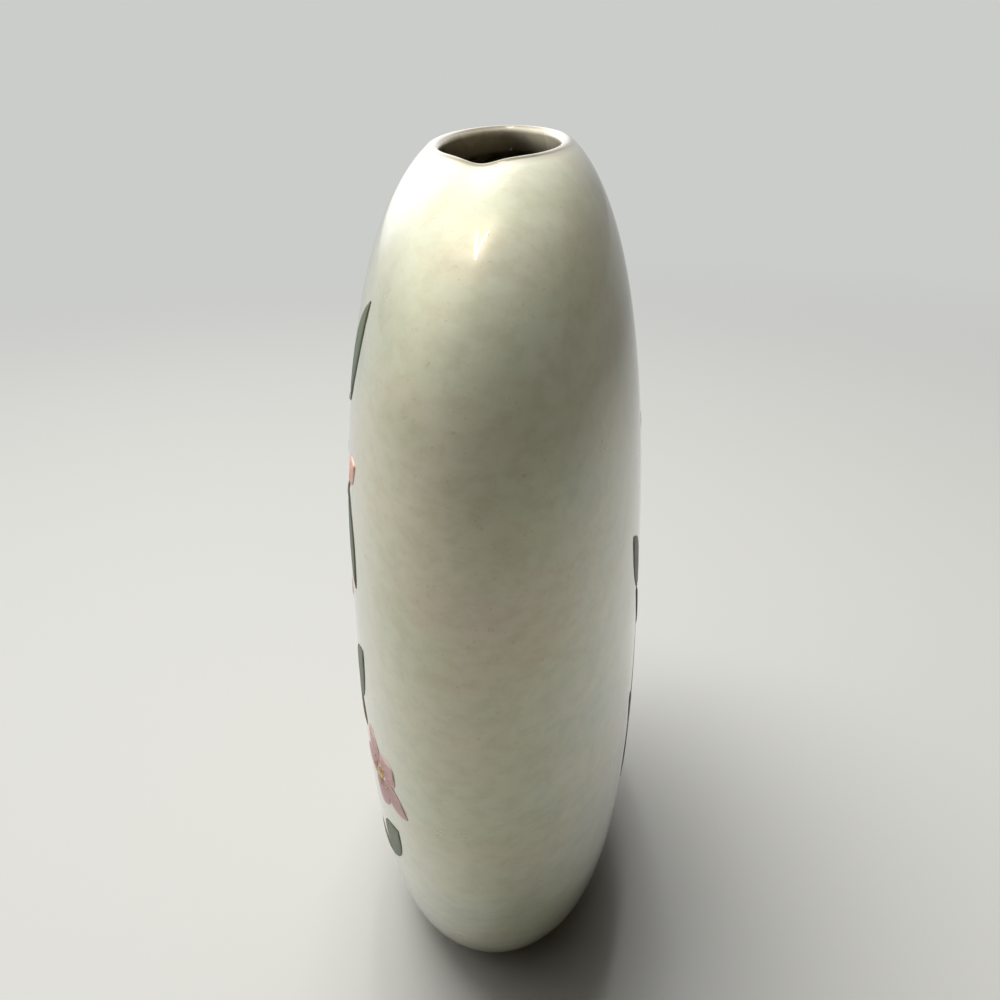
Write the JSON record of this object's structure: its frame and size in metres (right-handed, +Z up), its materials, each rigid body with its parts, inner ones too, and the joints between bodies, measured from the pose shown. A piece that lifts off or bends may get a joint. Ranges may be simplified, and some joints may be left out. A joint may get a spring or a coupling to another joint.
{
  "type": "pillow vase",
  "caption": "Flattened oval pillow vase in fired clay with a pearl glaze, a small oval mouth with a rounded lip, a low oval foot and raised enamel flowers.",
  "frame": {"origin": "centre of the bottom of the overall box, on the plane that the foot ring stands on", "axes": "+Z up, X along the vase's width, Y along its depth, the main decorated face towards -Y"},
  "size_m": [0.1624, 0.0682, 0.1928],
  "materials": {
    "clay": "matte",
    "pearl_glaze": "pearl gloss",
    "liner_glaze": "gloss",
    "stem_enamel": "gloss",
    "leaf_enamel": "gloss",
    "petal_enamel": "gloss",
    "bud_enamel": "gloss",
    "gold_enamel": "metallic lustre"
  },
  "bodies": {
    "root": {"clay_body": "clay", "outer_glaze": "pearl_glaze", "liner_glaze": "liner_glaze", "front_stems": "stem_enamel", "front_leaves": "leaf_enamel", "front_petals": "petal_enamel", "front_buds": "bud_enamel", "front_flower_eyes": "gold_enamel", "front_stamens": "gold_enamel", "back_stems": "stem_enamel", "back_leaves": "leaf_enamel", "back_petals": "petal_enamel", "back_flower_eyes": "gold_enamel", "back_stamens": "gold_enamel"}
  },
  "joints": []
}
